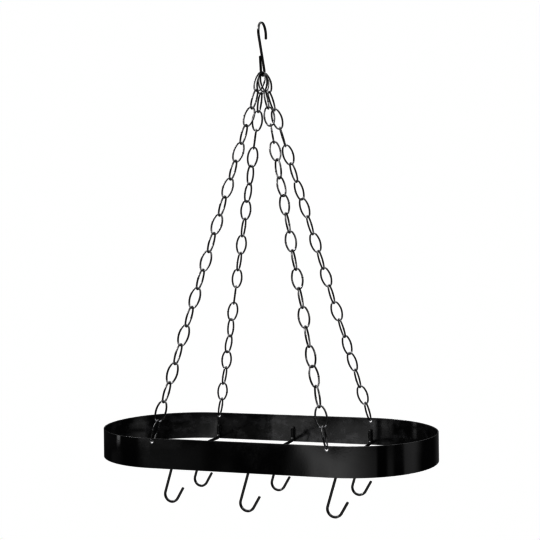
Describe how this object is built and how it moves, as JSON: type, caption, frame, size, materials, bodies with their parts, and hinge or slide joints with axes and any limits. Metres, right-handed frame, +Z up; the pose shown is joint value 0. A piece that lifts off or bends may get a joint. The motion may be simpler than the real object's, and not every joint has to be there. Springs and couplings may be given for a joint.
{
  "type": "hanging pot rack",
  "caption": "Hanging pot rack: an oval band of strip steel on link chains that gather under an S-hook, with welded cross rods and loose pot hooks.",
  "frame": {"origin": "inside top of the S-hook's upper crook, where a ceiling hook bears", "axes": "+X along the oval, towards the right in the picture; +Y across the oval, away from the viewer; +Z up"},
  "size_m": [0.61, 0.3084, 0.8493],
  "materials": {
    "s_hook": "gloss black coating on bent round wire",
    "chain": "gloss black coating on welded wire links",
    "band": "gloss black powder coat with a light orange peel, on flat strip",
    "cross_rods": "gloss black powder coat on round bar",
    "pot_hooks": "gloss black coating on bent round wire"
  },
  "bodies": {
    "s_hook": {"s_hook": "s_hook"},
    "rack": {"oval_band": "band", "left_cross_rod": "cross_rods", "middle_cross_rod": "cross_rods", "right_cross_rod": "cross_rods", "near_left_links_1": "chain", "near_left_links_2": "chain", "near_left_links_3": "chain", "near_left_links_4": "chain", "near_left_links_5": "chain", "near_left_links_6": "chain", "near_left_links_7": "chain", "near_left_links_8": "chain", "near_left_links_9": "chain", "near_left_links_10": "chain", "near_right_links_1": "chain", "near_right_links_2": "chain", "near_right_links_3": "chain", "near_right_links_4": "chain", "near_right_links_5": "chain", "near_right_links_6": "chain", "near_right_links_7": "chain", "near_right_links_8": "chain", "near_right_links_9": "chain", "near_right_links_10": "chain", "far_left_links_1": "chain", "far_left_links_2": "chain", "far_left_links_3": "chain", "far_left_links_4": "chain", "far_left_links_5": "chain", "far_left_links_6": "chain", "far_left_links_7": "chain", "far_left_links_8": "chain", "far_left_links_9": "chain", "far_left_links_10": "chain", "far_right_links_1": "chain", "far_right_links_2": "chain", "far_right_links_3": "chain", "far_right_links_4": "chain", "far_right_links_5": "chain", "far_right_links_6": "chain", "far_right_links_7": "chain", "far_right_links_8": "chain", "far_right_links_9": "chain", "far_right_links_10": "chain"},
    "near_left_hook": {"near_left_pot_hook": "pot_hooks"},
    "near_middle_hook": {"near_middle_pot_hook": "pot_hooks"},
    "near_right_hook": {"near_right_pot_hook": "pot_hooks"},
    "far_left_hook": {"far_left_pot_hook": "pot_hooks"},
    "far_middle_hook": {"far_middle_pot_hook": "pot_hooks"},
    "far_right_hook": {"far_right_pot_hook": "pot_hooks"}
  },
  "joints": [
    {"name": "rack_swing", "type": "hinge", "parent": "s_hook", "child": "rack", "pos_m": [0, 0, -0.09146], "axis": [0, 1, 0], "range_deg": [-20, 20]},
    {"name": "near_left_hook_swing", "type": "hinge", "parent": "rack", "child": "near_left_hook", "pos_m": [-0.1532, -0.073, -0.76755], "axis": [0, 1, 0], "range_deg": [-60, 60]},
    {"name": "near_middle_hook_swing", "type": "hinge", "parent": "rack", "child": "near_middle_hook", "pos_m": [0, -0.102, -0.76755], "axis": [0, 1, 0], "range_deg": [-60, 60]},
    {"name": "near_right_hook_swing", "type": "hinge", "parent": "rack", "child": "near_right_hook", "pos_m": [0.1532, -0.104, -0.76755], "axis": [0, 1, 0], "range_deg": [-60, 60]},
    {"name": "far_left_hook_swing", "type": "hinge", "parent": "rack", "child": "far_left_hook", "pos_m": [-0.1532, 0.054, -0.76755], "axis": [0, 1, 0], "range_deg": [-60, 60]},
    {"name": "far_middle_hook_swing", "type": "hinge", "parent": "rack", "child": "far_middle_hook", "pos_m": [0, 0.056, -0.76755], "axis": [0, 1, 0], "range_deg": [-60, 60]},
    {"name": "far_right_hook_swing", "type": "hinge", "parent": "rack", "child": "far_right_hook", "pos_m": [0.1532, 0.056, -0.76755], "axis": [0, 1, 0], "range_deg": [-60, 60]}
  ]
}
